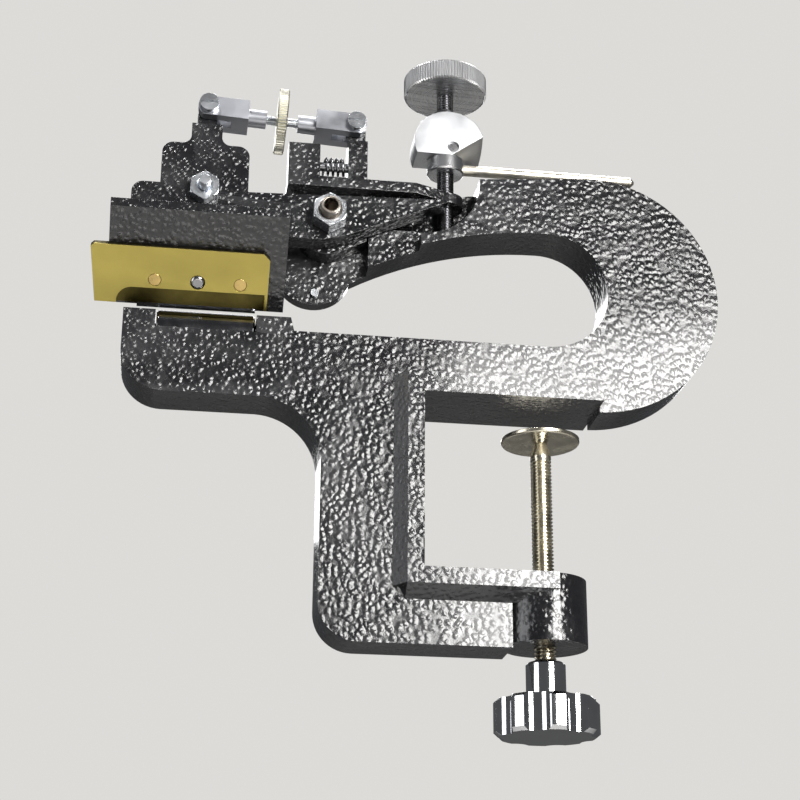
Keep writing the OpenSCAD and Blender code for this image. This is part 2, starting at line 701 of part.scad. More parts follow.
module blade_holder() {
    neck_top = left_pin.y;
    color(cast_black) difference() {
        union() {
            upright(tail_front, tail_back) {
                tower_outline();
                tail_outline();
                translate([-tower_x - neck_w / 2, edge_z + 26])
                    square([neck_w, neck_top - 6.5 - edge_z - 26]);
            }
            upright(post_y - ear_t / 2, post_y + ear_t / 2) {
                translate([-tower_x - neck_w / 2 + 2, edge_z + 30])
                    square([neck_w - 4, neck_top - edge_z - 30]);
                translate(left_pin) circle(3.2);
            }
            translate([-tower_x - wedge_left, 0, 0]) rotate([90, 0, 90])
                linear_extrude(wedge_len) wedge_outline();
            // seat for the stud's nut, square to the slant
            on_slant(0, pin_up, 1) cylinder(r = 6, h = nut_seat - 1);
        }
        rod_y(pivot_d / 2 + slip, pivot, -jaw_y, jaw_y);
        rod_y(clevis_pin_d / 2, left_pin, -jaw_y, jaw_y);
        rod_y(tower_bolt_r, [-tower_x + 0.1, tower_bolt_z], -jaw_y - 10, jaw_y);
        // holes square to the slant for the pins and the stud
        for (dx = [-pin_pitch / 2, pin_pitch / 2])
            on_slant(dx, pin_up, -1) cylinder(r = blade_pin_r, h = 7, $fn = 48);
        on_slant(0, pin_up, -1) cylinder(r = stud_r, h = cut, $fn = 48);
    }
}

tower_bolt_r = 2;
tower_nut_t = 4;
tower_bolt_out = 4.4;    // how far the bolt stands out of its nut
tower_bolt_z = pivot_z + 7;
blade_pin_r = 2.2;
stud_r = 2.5;
pin_up = blade_w / 2;    // the pins stand in the middle of the blade

// Places children on the slant: dx along the blade from its middle, s up the slant from the edge,
// with +Z pointing into the holder from the given depth
module on_slant(dx, s, depth = 0) {
    translate([blade_x + dx, -s * along.x, edge_z + s * along.y])
        rotate([-blade_slant, 0, 0]) translate([0, 0, depth]) children();
}

module tower_bolt() {
    color(steel) {
        rod_y(tower_bolt_r - eps, [-tower_x + 0.1, tower_bolt_z],
            tail_front - tower_nut_t - tower_bolt_out, tail_back + 1);
        translate([-tower_x + 0.1, tail_back + 4, tower_bolt_z]) rotate([90, 30, 0])
            hexagon(tower_nut_af, 4);
    }
}

module tower_nut() {
    color(steel) nut_y(tower_nut_af, tower_bolt_r, [-tower_x + 0.1, tower_bolt_z],
        tail_front - tower_nut_t, tail_front);
}

// Double-edged blade with its long slot, its edges ground to a bevel
module razor_blade() {
    bevel = 0.8;
    color(steel) on_slant(0, 0) translate([0, 0, -blade_t]) difference() {
        translate([-blade_len / 2, 0, 0]) rotate([90, 0, 90]) linear_extrude(blade_len)
            polygon([[0, blade_t / 2], [-bevel, 0], [-blade_w + bevel, 0], [-blade_w, blade_t / 2],
                [-blade_w + bevel, blade_t], [-bevel, blade_t]]);
        for (dx = [-pin_pitch / 2, 0, pin_pitch / 2])
            translate([dx, -pin_up, -1]) cylinder(r = stud_r + rest_gap / 3, h = 3, $fn = 48);
        translate([-pin_pitch / 2, -pin_up - 0.9, -1]) cube([pin_pitch, 1.8, 3]);
        for (sx = [-1, 1]) for (sy = [0, 1])
            translate([sx * blade_len / 2 - 1.5, sy == 0 ? -2 : -blade_w - 0.4, -1]) cube([3, 2.4, 3]);
    }
}

plate_right = 23.7;      // how far the plate reaches to the right of its stud
plate_up = 2.2;          // width of blade that stands out below the plate
plate_corner = 2.2;      // cut corner at the plate's upper right
plate_nip = 1;           // cut corner at its upper left
plate_lean = 1.8;        // how far its left end leans in at the bottom
relief_h = 5.8;          // height of the milled relief along the plate's lower edge
relief_t = 1.4;          // its depth
relief_in = 9;           // where it starts, from the plate's left end
relief_r = 5.2;          // round corner left by the cutter
plate_lug = 1;           // wall left between the relief and the plate's right end

// Brass plate with a milled relief that starts in a round corner
module clamp_plate() {
    left = plate_right - plate_len;
    top = plate_h + 1;
    relief_left = left + relief_in;
    relief_top = plate_up + relief_h;
    color(brass_gold) on_slant(0, 0) translate([0, 0, -blade_t - plate_t]) difference() {
        linear_extrude(plate_t)
            polygon([[left + plate_lean, -plate_up], [left, -top + plate_nip],
                [left + plate_nip, -top], [plate_right - plate_corner, -top],
                [plate_right, -top + plate_corner], [plate_right, -plate_up]]);
        translate([0, 0, -eps]) linear_extrude(relief_t + eps) {
            translate([relief_left + relief_r, -relief_top])
                square([plate_right - plate_lug - relief_left - relief_r, relief_top]);
            translate([relief_left, -relief_top + relief_r])
                square([relief_r + eps, relief_top - relief_r]);
            translate([relief_left + relief_r, -relief_top + relief_r]) circle(relief_r);
        }
        for (dx = [-pin_pitch / 2, pin_pitch / 2])
            translate([dx, -pin_up, -1]) cylinder(r = blade_pin_r, h = plate_t + 2, $fn = 48);
        translate([0, -pin_up, -1]) cylinder(r = stud_r, h = plate_t + 2, $fn = 48);
    }
}

module blade_pins() {
    color(brass_gold) for (dx = [-pin_pitch / 2, pin_pitch / 2])
        on_slant(dx, pin_up, -blade_t - plate_t)
        cylinder(r = blade_pin_r - eps, h = plate_t + blade_t + 4, $fn = 48);
}

nut_seat = 10.5;            // depth of the nut's seat behind the blade
stud_nut_h = 4;
stud_proud = 0.6;        // how far the stud stands out of the plate
module plate_stud() {
    color(steel) on_slant(0, pin_up, -blade_t - plate_t - stud_proud)
        cylinder(r = stud_r - eps,
            h = stud_proud + plate_t + blade_t + nut_seat + stud_nut_h + 1.5, $fn = 48);
}

module stud_nut() {
    color(steel) on_slant(0, pin_up, nut_seat) difference() {
        hexagon(8, stud_nut_h);
        translate([0, 0, -1]) cylinder(r = stud_r, h = stud_nut_h + 2, $fn = 48);
    }
}

// ---------------------------------------------------------------- turnbuckle

// The link's own frame: x runs from the left pin to the right pin, z up
module on_link() {
    translate([left_pin.x, post_y, left_pin.y]) rotate([0, link_angle, 0]) children();
}

// One clevis with its pin at the origin and its neck towards +x
module clevis() {
    difference() {
        union() {
            intersection() {
                block([-10, -clevis_w / 2, -clevis_h / 2],
                    [clevis_bar_len, clevis_w / 2, clevis_h / 2]);
                union() {
                    rod_y(clevis_end_r, [clevis_end_in, 0], -10, 10);
                    block([clevis_end_in, -10, -10], [clevis_bar_len + 1, 10, 10]);
                }
            }
            rod_x(clevis_neck_d / 2, [0, 0], clevis_bar_len - 1, neck_end);
        }
        block([-10, -clevis_slot / 2, -10], [8, clevis_slot / 2, 10]);
        rod_y(clevis_pin_d / 2 + slip, [0, 0], -10, 10);
        rod_x(rod_d / 2 + thread_play, [0, 0], neck_end - rod_bite - 2.2, neck_end + 1);
    }
}

module left_clevis() {
    color(steel) on_link() clevis();
}

module right_clevis() {
    color(steel) on_link() translate([link_len, 0, 0]) mirror([1, 0, 0]) clevis();
}

// Screw with a flat round head in front and its plain end behind
module clevis_pin(at) {
    half = clevis_w / 2;
    color(steel) {
        rod_y(clevis_pin_d / 2 - eps, at, post_y - half - 1, post_y + half + 0.8);
        difference() {
            rod_y(3.3, at, post_y - half - 2.4, post_y - half - 0.1);
            block([at.x - 5, post_y - half - 3, at.y - 0.4], [at.x + 5, post_y - half - 1.6, at.y + 0.4]);
        }
    }
}

module left_clevis_pin() clevis_pin(left_pin);
module right_clevis_pin() clevis_pin(right_pin);

module turnbuckle_rod() {
    color(steel) on_link() rod_x(rod_d / 2, [0, 0], neck_end - rod_bite, link_len - neck_end + rod_bite);
}

module knurled_wheel() {
    color(nickel) on_link() translate([wheel_at - wheel_t / 2, 0, 0]) rotate([0, 90, 0]) difference() {
        linear_extrude(wheel_t) knurl(wheel_d, 0.5, 48);
        translate([0, 0, -1]) cylinder(d = rod_d + 2 * eps, h = wheel_t + 2);
    }
}

// ---------------------------------------------------------------- thickness screw

module thickness_spindle() {
    color(steel) translate([-spindle_x, spindle_y, 0]) {
        translate([0, 0, seat_z + rest_gap + 1.2]) cylinder(d = spindle_d, 
            h = knob_z + knob_bore - seat_z - rest_gap - 1.2);
        translate([0, 0, seat_z + rest_gap]) cylinder(d1 = spindle_d - 2, d2 = spindle_d, h = 1.2 + eps);
        translate([0, 0, block_z + block_r + rest_gap]) cylinder(d = spindle_d + 3, h = collar_bead_t);
    }
}

module thickness_knob() {
    color(steel) translate([-spindle_x, spindle_y, knob_z]) difference() {
        union() {
            translate([0, 0, 0.5]) linear_extrude(knob_h - 1) knurl(knob_d, 0.45, 60);
            cylinder(d1 = knob_d - 2, d2 = knob_d - 1, h = 0.5 + eps);
            translate([0, 0, knob_h - 0.5 - eps]) cylinder(d1 = knob_d - 1, d2 = knob_d - 2, h = 0.5 + eps);
        }
        translate([0, 0, -1]) cylinder(d = spindle_d + 2 * eps, h = knob_bore + 1);
    }
}

// Round block lying front to back, flat below, with a rising cut at its lower right
block_off = 0.6;         // the block's middle, to the right of the spindle
grind_in = 0.8;          // start of the ground corner, to the right of the spindle
grind_back = 0.2;        // how far short of the spindle's axis that corner stops
grind_turn = 33;
socket_r = 2.1;
socket_h = 3;
socket_sunk = 0.8;       // how far the screw lies below the block's face

module cam_block() {
    half = block_len / 2;
    color(steel) difference() {
        rod_y(block_r, [-spindle_x + block_off, block_z], spindle_y - half, spindle_y + half, 96);
        block([-cut, -cut, block_flat_z - cut], [cut, cut, block_flat_z]);
        translate([-spindle_x + grind_in, spindle_y - half - 1, block_flat_z])
            rotate([0, -grind_turn, 0])
            translate([0, 0, -cut]) cube([cut, half + 1 - grind_back, cut]);
        translate([-spindle_x, spindle_y, 0]) cylinder(d = spindle_d + 2 * slip, h = cut);
        rod_y(socket_r, block_screw_at, spindle_y - half - 1, spindle_y - half + socket_h);
    }
}

block_screw_at = [-spindle_x + 2, block_z - 1.6];

module block_screw() {
    half = block_len / 2;
    color([0.45, 0.45, 0.46])
        rod_y(socket_r - eps, block_screw_at, spindle_y - half + socket_sunk,
            spindle_y - half + socket_h);
}

module lever_collar() {
    color(steel) translate([-spindle_x, spindle_y, collar_z]) difference() {
        union() {
            cylinder(d1 = collar_d - 1, d2 = collar_d, h = 0.5);
            translate([0, 0, 0.5]) cylinder(d = collar_d, h = collar_h - 0.5);
        }
        translate([0, 0, -1]) cylinder(d = spindle_d + 2 * slip, h = collar_h + 2);
        translate([collar_d / 2 - 2.5, 0, collar_h / 2]) rotate([0, 90, 0]) cylinder(d = lever_d, h = 10);
    }
}

module lever_rod() {
    tip = lever_d * 0.35;
    color(steel) {
        rod_x(lever_d / 2 - eps, [spindle_y, lever_z], -spindle_x + collar_d / 2 - 2.5,
            -spindle_x + lever_reach - tip);
        translate([-spindle_x + lever_reach - tip - eps, spindle_y, lever_z]) rotate([0, 90, 0])
            cylinder(d1 = lever_d - 2 * eps, d2 = lever_d - 2 * tip, h = tip);
    }
}

frame_casting();
roller_axle();
roller();
swivel_pad();
clamp_screw();
clamp_knob();
lift_arm();
arm_dowel();
post_spring();
spring_pin();
pivot_bolt();
pivot_nut();
blade_holder();
tower_bolt();
tower_nut();
razor_blade();
clamp_plate();
blade_pins();
plate_stud();
stud_nut();
left_clevis();
left_clevis_pin();
right_clevis();
right_clevis_pin();
turnbuckle_rod();
knurled_wheel();
thickness_spindle();
thickness_knob();
cam_block();
block_screw();
lever_collar();
lever_rod();
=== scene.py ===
import json
import math

import bmesh
import bpy
from bpy.props import FloatProperty, FloatVectorProperty, IntProperty, PointerProperty
from mathutils import Matrix, Vector


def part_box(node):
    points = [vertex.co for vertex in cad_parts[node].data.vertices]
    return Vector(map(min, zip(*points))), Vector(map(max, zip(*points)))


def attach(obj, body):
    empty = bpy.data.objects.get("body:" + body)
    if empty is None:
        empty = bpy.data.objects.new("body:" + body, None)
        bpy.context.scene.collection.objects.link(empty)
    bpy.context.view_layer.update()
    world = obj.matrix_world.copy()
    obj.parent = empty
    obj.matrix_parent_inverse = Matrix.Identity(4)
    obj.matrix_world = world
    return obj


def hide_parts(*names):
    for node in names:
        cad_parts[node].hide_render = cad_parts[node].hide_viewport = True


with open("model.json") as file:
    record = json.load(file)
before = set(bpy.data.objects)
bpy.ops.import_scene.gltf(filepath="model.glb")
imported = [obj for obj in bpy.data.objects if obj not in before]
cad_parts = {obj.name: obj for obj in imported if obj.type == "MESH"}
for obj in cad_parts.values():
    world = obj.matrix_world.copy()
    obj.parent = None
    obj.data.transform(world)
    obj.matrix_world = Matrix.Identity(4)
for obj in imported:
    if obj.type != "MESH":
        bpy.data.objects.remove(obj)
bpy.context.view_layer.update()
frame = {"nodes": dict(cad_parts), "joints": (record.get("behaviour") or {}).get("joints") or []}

bl_info = {
    "name": "Leather splitter finish",
    "version": (1, 0, 0),
    "blender": (4, 5, 0),
    "location": "View3D > Sidebar > Splitter",
    "description": "Enamel, brass, plated screws and turned details for a bench leather splitter",
    "category": "Object",
}

UP = (0, 0, 1)


def span(node):
    """Lowest corner, highest corner and middle of a node."""
    low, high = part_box(node)
    return low, high, (low + high) / 2


SCREW_LOW, SCREW_HIGH, SCREW_MID = span("clamp_screw")
WHEEL_LOW, WHEEL_HIGH, WHEEL_MID = span("knurled_wheel")
KNOB_LOW, KNOB_HIGH, KNOB_MID = span("thickness_knob")
SPINDLE_LOW, SPINDLE_HIGH, SPINDLE_MID = span("thickness_spindle")

# Right roller lug, in metres: its top, the gap beside the roller, and its widths above and below
LUG_TOP = 0.0258
LUG_GAP = 0.0003
LUG_TOP_W = 0.0115
LUG_FOOT_W = 0.0127
LUG_FOOT_H = 0.0049
LUG_H = 0.0060
LUG_DEPTH = 0.0180
# How far an added face stands off the casting, so that the two don't flicker
SKIN = 0.00003

# Plain length of the clamp screw under its pad, and the shares of its radius down the neck
NECK_H = 0.0052
NECK_SHOULDER, NECK_FULL, NECK_MID, NECK_THIN, NECK_PIN = 0.86, 0.99, 0.80, 0.62, 0.60

# Parts of a thread's pitch: the flat at its root, and where its crest starts and ends
ROOT_FLAT, CREST_FROM, CREST_TO = 0.10, 0.44, 0.60

# Thickness spindle and its flange, in metres
SPINDLE_R = 0.0030
FLANGE_H = 0.0016
FLANGE_CHAMFER = 0.0003

# Cam block: its radius, its ground corner on the underside, and the corner's shares of the radius
BLOCK_R = 0.0126
GRIND_IN = 0.0010
GRIND_OUT, GRIND_UP, GRIND_BACK = 0.957, 0.27, 0.92
SOCKET_H = 0.0016

# Post spring: the radius of its wire, its bare ends, turns and steps a turn
WIRE_R = 0.0005
SPRING_END = 0.0010
SPRING_TURNS, SPRING_STEPS = 4, 40

# Stage, in metres: name, place, size, share of the key's power, colour of each soft light
LAMPS = (
    ("key", (0.37, -0.95, 0.18), (0.44, 0.52), 1.0, (1.0, 0.99, 0.97)),
    ("spark", (-0.38, -0.58, 0.98), (0.12, 0.12), 0.40, (1.0, 1.0, 1.0)),
    ("top", (0.10, 0.10, 0.95), (0.50, 0.30), 0.5, (1.0, 1.0, 1.0)),
    ("left", (-0.90, -0.35, 0.05), (0.50, 0.90), 0.22, (0.97, 0.98, 1.0)),
    ("back", (0.10, 0.98, 0.55), (0.70, 0.60), 0.35, (1.0, 1.0, 1.0)),
    ("low", (0.05, -0.75, -0.75), (0.60, 0.25), 0.08, (1.0, 0.98, 0.95)),
)
LAMP_AIM = (-0.03, 0.0, 0.0)
FLOOR_Z, FLOOR_HALF = -0.9, 9.0
FLOOR_GLOW, FLOOR_GLOW_SEEN = 0.03, 0.70
SKY, SKY_STRENGTH = (0.80, 0.82, 0.85, 1), 0.10
CAMERA_AT = (-0.11167, -0.53319, -0.20490)
CAMERA_LOOK = (0.12993, 0.92450, 0.35837)
CAMERA_ROLL = 0.4
SENSOR, LENS = 36.0, 76.5


# ------------------------------------------------------------------ sizes and colours

class CastingSettings(bpy.types.PropertyGroup):
    edge_round: FloatProperty(
        name="Edge round", description="Radius of the enamelled edges",
        default=0.0011, min=0.0002, max=0.003, unit="LENGTH")
    pebble: FloatProperty(
        name="Pebble size", description="Width of one pebble of the hammered enamel",
        default=0.0019, min=0.0004, max=0.004, unit="LENGTH")
    pebble_height: FloatProperty(
        name="Pebble height", description="How far the pebbles stand up",
        default=0.00020, min=0.0, max=0.001, unit="LENGTH")
    enamel: FloatVectorProperty(
        name="Enamel", description="Colour of the enamel",
        subtype="COLOR", size=4, default=(0.010, 0.010, 0.0115, 1.0), min=0.0, max=1.0)


class ThreadSettings(bpy.types.PropertyGroup):
    clamp_pitch: FloatProperty(
        name="Clamp pitch", description="Pitch of the clamp screw's thread",
        default=0.00125, min=0.0008, max=0.002, unit="LENGTH")
    spindle_pitch: FloatProperty(
        name="Spindle pitch", description="Pitch of the thickness spindle's thread",
        default=0.0010, min=0.0005, max=0.002, unit="LENGTH")
    rod_pitch: FloatProperty(
        name="Rod pitch", description="Pitch of the turnbuckle rod's thread",
        default=0.0007, min=0.0004, max=0.001, unit="LENGTH")
    steps: IntProperty(
        name="Steps", description="Steps in one turn of each thread",
        default=32, min=12, max=64)


class PlateSettings(bpy.types.PropertyGroup):
    brass: FloatVectorProperty(
        name="Brass", description="Colour of the polished plate",
        subtype="COLOR", size=4, default=(0.47, 0.385, 0.105, 1.0), min=0.0, max=1.0)
    # darker colour laid on the floor of the milled relief
    relief_dark: FloatVectorProperty(
        name="Dark relief", description="Colour of the darkened relief",
        subtype="COLOR", size=4, default=(0.045, 0.036, 0.012, 1.0), min=0.0, max=1.0)


class KnurlSettings(bpy.types.PropertyGroup):
    knob_ribs: IntProperty(
        name="Knob ribs", description="Ribs round the thickness knob",
        default=90, min=30, max=140)
    wheel_ribs: IntProperty(
        name="Wheel ribs", description="Ribs round the knurled wheel",
        default=72, min=20, max=90)
    rib_depth: FloatProperty(
        name="Rib depth", description="Depth of the grooves between the ribs",
        default=0.00045, min=0.0001, max=0.001, unit="LENGTH")


class StageSettings(bpy.types.PropertyGroup):
    backdrop: FloatVectorProperty(
        name="Backdrop", description="Colour of the floor and its sweep",
        subtype="COLOR", size=4, default=(0.72, 0.71, 0.69, 1.0), min=0.0, max=1.0)
    key_power: FloatProperty(
        name="Key power", description="Power of the main soft light",
        default=15.0, min=0.0, max=200.0, unit="POWER")


# ------------------------------------------------------------------ shader building

def shader(name):
    """A new node material with its tree, its surface shader and a quick way to add nodes."""
    mat = bpy.data.materials.new(name)
    mat.use_nodes = True
    tree = mat.node_tree
    body = next(n for n in tree.nodes if n.type == "BSDF_PRINCIPLED")
    return mat, tree, body


def add(tree, kind, **values):
    """A node whose named inputs or settings hold the values."""
    node = tree.nodes.new(kind)
    for key, value in values.items():
        if key in node.inputs:
            node.inputs[key].default_value = value
        else:
            setattr(node, key, value)
    return node


def object_coords(tree, scale=(1, 1, 1), turn=(0, 0, 0), shift=(0, 0, 0)):
    """Object coordinates, shifted, turned and scaled."""
    coords = tree.nodes.new("ShaderNodeTexCoord")
    mapping = tree.nodes.new("ShaderNodeMapping")
    mapping.inputs["Scale"].default_value = scale
    mapping.inputs["Rotation"].default_value = turn
    mapping.inputs["Location"].default_value = shift
    tree.links.new(coords.outputs["Object"], mapping.inputs["Vector"])
    return mapping.outputs["Vector"]


def noise(tree, vector, scale, detail=3.0, roughness=0.5):
    """Cloudy noise along a vector."""
    node = add(tree, "ShaderNodeTexNoise", Scale=scale, Detail=detail, Roughness=roughness)
    tree.links.new(vector, node.inputs["Vector"])
    return node.outputs["Fac"]


def ramp(tree, fac, stops):
    """A colour ramp with a colour at each stop."""
    node = tree.nodes.new("ShaderNodeValToRGB")
    band = node.color_ramp
    while len(band.elements) < len(stops):
        band.elements.new(0.5)
    for element, (at, colour) in zip(band.elements, stops):
        element.position = at
        element.color = colour if len(colour) == 4 else (*colour, 1.0)
    tree.links.new(fac, node.inputs["Fac"])
    return node.outputs["Color"]


def spread(tree, fac, low, high, from_low=0.3, from_high=0.7, kind="LINEAR"):
    """A value carried from one range to another."""
    node = add(tree, "ShaderNodeMapRange", interpolation_type=kind)
    node.inputs["From Min"].default_value = from_low
    node.inputs["From Max"].default_value = from_high
    node.inputs["To Min"].default_value = low
    node.inputs["To Max"].default_value = high
    tree.links.new(fac, node.inputs["Value"])
    return node.outputs["Result"]


def bump(tree, height, distance, strength=1.0, below=None):
    """A bumped normal, over another one if there is one below."""
    node = add(tree, "ShaderNodeBump", Distance=distance, Strength=strength)
    tree.links.new(height, node.inputs["Height"])
    if below is not None:
        tree.links.new(below, node.inputs["Normal"])
    return node.outputs["Normal"]


def edge_highlight_mask(tree, low, high):
    """How much an outer edge is lightened as a painted highlight, from the surface's pointiness.
    """
    shape = tree.nodes.new("ShaderNodeNewGeometry")
    return spread(tree, shape.outputs["Pointiness"], 0.0, 1.0, low, high)


# ------------------------------------------------------------------ materials

def hammered_enamel(settings):
    """Glossy black enamel that dried in small pebbles, with a painted highlight greying its outer
    edges.
    """
    mat, tree, body = shader("hammered_enamel")
    link = tree.links.new
    coords = object_coords(tree)
    warp = add(tree, "ShaderNodeTexNoise", Scale=0.55 / settings.pebble, Detail=2.0)
    link(coords, warp.inputs["Vector"])
    bent = add(tree, "ShaderNodeVectorMath", operation="MULTIPLY_ADD")
    link(warp.outputs["Color"], bent.inputs[0])
    bent.inputs[1].default_value = (settings.pebble * 0.9,) * 3
    link(coords, bent.inputs[2])
    cells = add(tree, "ShaderNodeTexVoronoi", feature="SMOOTH_F1", Scale=1.0 / settings.pebble,
                Smoothness=0.35)
    link(bent.outputs["Vector"], cells.inputs["Vector"])
    domes = spread(tree, cells.outputs["Distance"], 1.0, 0.0, 0.05, 0.75, "SMOOTHSTEP")
    broad = noise(tree, coords, 90.0, 2.0)
    waves = bump(tree, broad, 0.0006, 0.6)
    fine = noise(tree, coords, 2600.0, 2.0)
    skin = bump(tree, fine, 0.00005, 0.5, waves)
    link(bump(tree, domes, settings.pebble_height, 1.0, skin), body.inputs["Normal"])
    tone = ramp(tree, broad, [(0.3, (0.007, 0.007, 0.008)), (0.7, settings.enamel)])
    # painted highlight: outer edges are mixed towards grey by pointiness, standing in for light
    # caught on the rounds
    edge_highlight_fac = ramp(tree, edge_highlight_mask(tree, 0.53, 0.62), [(0.0, (0, 0, 0)), (1.0, (1, 1, 1))])
    edge = add(tree, "ShaderNodeMix", data_type="RGBA")
    link(spread(tree, edge_highlight_fac, 0.0, 0.22, 0.0, 1.0), edge.inputs["Factor"])
    link(tone, edge.inputs["A"])
    # grey of the painted edge highlight
    edge.inputs["B"].default_value = (0.11, 0.11, 0.115, 1.0)
    link(edge.outputs["Result"], body.inputs["Base Color"])
    link(spread(tree, broad, 0.16, 0.30), body.inputs["Roughness"])
    body.inputs["Specular IOR Level"].default_value = 0.62
    body.inputs["Coat Weight"].default_value = 0.5
    body.inputs["Coat Roughness"].default_value = 0.10
    return mat


def metal(name, colour, roughness, tint=0.08, scratch=None, grain=0.00001, mottle=160.0):
    """Bare or plated metal with smudged gloss, faint mottling and optional drawn lines."""
    mat, tree, body = shader(name)
    link = tree.links.new
    body.inputs["Metallic"].default_value = 1.0
    plain = object_coords(tree)
    patches = noise(tree, plain, mottle, 4.0, 0.6)
    low = tuple(c * (1.0 - tint * 2.2) for c in colour)
    high = tuple(min(1.0, c * (1.0 + tint)) for c in colour)
    tone = ramp(tree, patches, [(0.30, low), (0.68, high)])
    link(tone, body.inputs["Base Color"])
    link(spread(tree, patches, roughness * 0.75, roughness * 1.35), body.inputs["Roughness"])
    lines = object_coords(tree, scratch) if scratch else plain
    height = noise(tree, lines, 1.0 if scratch else 1800.0, 3.0, 0.65)
    link(bump(tree, height, grain, 0.8), body.inputs["Normal"])
    return mat


def turned_steel(name, colour, roughness, centre, rings=1500.0, depth=0.000012):
    """Steel with fine rings about an upright axis, as left by a lathe."""
    mat, tree, body = shader(name)
    link = tree.links.new
    body.inputs["Metallic"].default_value = 1.0
    coords = object_coords(tree, shift=(-centre[0], -centre[1], 0.0))
    flat = add(tree, "ShaderNodeVectorMath", operation="MULTIPLY")
    link(coords, flat.inputs[0])
    flat.inputs[1].default_value = (1.0, 1.0, 0.02)
    far = add(tree, "ShaderNodeVectorMath", operation="LENGTH")
    link(flat.outputs["Vector"], far.inputs[0])
    across = add(tree, "ShaderNodeCombineXYZ")
    link(far.outputs["Value"], across.inputs["X"])
    grooves = noise(tree, across.outputs["Vector"], rings, 3.0, 0.7)
    patches = noise(tree, coords, 120.0, 3.0)
    tone = ramp(tree, patches, [(0.3, tuple(c * 0.86 for c in colour)), (0.7, colour)])
    link(tone, body.inputs["Base Color"])
    link(spread(tree, grooves, roughness * 0.7, roughness * 1.4), body.inputs["Roughness"])
    link(bump(tree, grooves, depth, 0.9), body.inputs["Normal"])
    body.inputs["Anisotropic"].default_value = 0.35
    return mat


def brushed_brass(settings):
    """Satin brass with faint crossing scratches and a darkened floor in its milled relief."""
    mat, tree, body = shader("brushed_brass")
    link = tree.links.new
    body.inputs["Metallic"].default_value = 1.0
    along = object_coords(tree, (90.0, 2400.0, 2400.0), (0.0, 0.5, 0.0))
    strokes = noise(tree, along, 1.0, 4.0, 0.6)
    crossing = object_coords(tree, (2200.0, 60.0, 60.0), (0.0, 0.75, 0.0))
    hairs = noise(tree, crossing, 1.0, 2.0, 0.5)
    clouds = noise(tree, object_coords(tree), 70.0, 4.0, 0.6)
    polished = ramp(tree, clouds, [(0.30, tuple(c * 0.90 for c in settings.brass[:3])),
                                   (0.62, settings.brass[:3])])
    # how far along the front face's normal a point lies, and where that face is
    plate = frame["nodes"]["clamp_plate"].data
    out = max((f.normal for f in plate.polygons if f.normal.y < -0.3),
              key=lambda n: -n.y * (n.x * n.x < 0.01) - n.z).copy()
    face = max(out.dot(v.co) for v in plate.vertices)
    depth = add(tree, "ShaderNodeVectorMath", operation="DOT_PRODUCT")
    link(object_coords(tree), depth.inputs[0])
    depth.inputs[1].default_value = out
    relief = spread(tree, depth.outputs["Value"], 1.0, 0.0, face - 0.0010, face - 0.0006)
    # the floor of the milled relief is mixed towards the dark relief colour, a little unevenly
    patch = add(tree, "ShaderNodeMath", operation="MULTIPLY")
    link(relief, patch.inputs[0])
    link(spread(tree, clouds, 0.80, 1.0), patch.inputs[1])
    relief_darkened = add(tree, "ShaderNodeMix", data_type="RGBA")
    link(patch.outputs["Value"], relief_darkened.inputs["Factor"])
    link(polished, relief_darkened.inputs["A"])
    relief_darkened.inputs["B"].default_value = settings.relief_dark
    link(relief_darkened.outputs["Result"], body.inputs["Base Color"])
    link(spread(tree, clouds, 0.30, 0.40), body.inputs["Roughness"])
    under = bump(tree, hairs, 0.000010, 0.6)
    link(bump(tree, strokes, 0.000016, 0.8, under), body.inputs["Normal"])
    body.inputs["Anisotropic"].default_value = 0.3
    return mat


MATERIALS = {}


def build_materials():
    """Every finish, under the name that the steps ask for."""
    scene = bpy.context.scene
    knob = (KNOB_MID.x, KNOB_MID.y)
    MATERIALS.update(
        enamel=hammered_enamel(scene.splitter_casting),
        brass=brushed_brass(scene.splitter_plate),
        pin=metal("bronze_pin", (0.62, 0.45, 0.17), 0.30, 0.10, grain=0.00002),
        nickel=metal("warm_nickel", (0.74, 0.69, 0.56), 0.24, 0.10, grain=0.000012),
        wheel_nickel=metal("cream_nickel", (0.82, 0.80, 0.70), 0.34, 0.03, mottle=60.0),
        chrome=metal("bright_chrome", (0.80, 0.81, 0.83), 0.07, 0.03, grain=0.000004),
        zinc=metal("zinc_plate", (0.66, 0.68, 0.71), 0.24, 0.05, mottle=90.0),
        spring=metal("spring_wire", (0.28, 0.28, 0.29), 0.20, 0.08),
        bolt=metal("brown_bolt", (0.36, 0.32, 0.28), 0.28, 0.08),
        stud=metal("dark_stud", (0.42, 0.41, 0.42), 0.20, 0.08),
        blade=metal("ground_blade", (0.62, 0.63, 0.66), 0.16, 0.06, (2600.0, 120.0, 120.0)),
        satin=metal("satin_bar", (0.40, 0.41, 0.44), 0.36, 0.03, (140.0, 1800.0, 1800.0),
                    mottle=60.0),
        roller=metal("polished_roller", (0.24, 0.24, 0.25), 0.14, 0.06, (3200.0, 90.0, 90.0)),
        dark=metal("dark_turned", (0.30, 0.30, 0.31), 0.30, 0.12),
        turned=turned_steel("turned_steel", (0.80, 0.80, 0.81), 0.26, knob),
        block=metal("ground_block", (0.70, 0.71, 0.73), 0.30, 0.03, (160.0, 2600.0, 160.0),
                    grain=0.000006, mottle=60.0),
        rod=metal("drawn_rod", (0.74, 0.70, 0.60), 0.36, 0.04, (80.0, 2600.0, 2600.0)),
        spindle=metal("oiled_thread", (0.26, 0.26, 0.27), 0.22, 0.06),
    )


# ------------------------------------------------------------------ modelling helpers

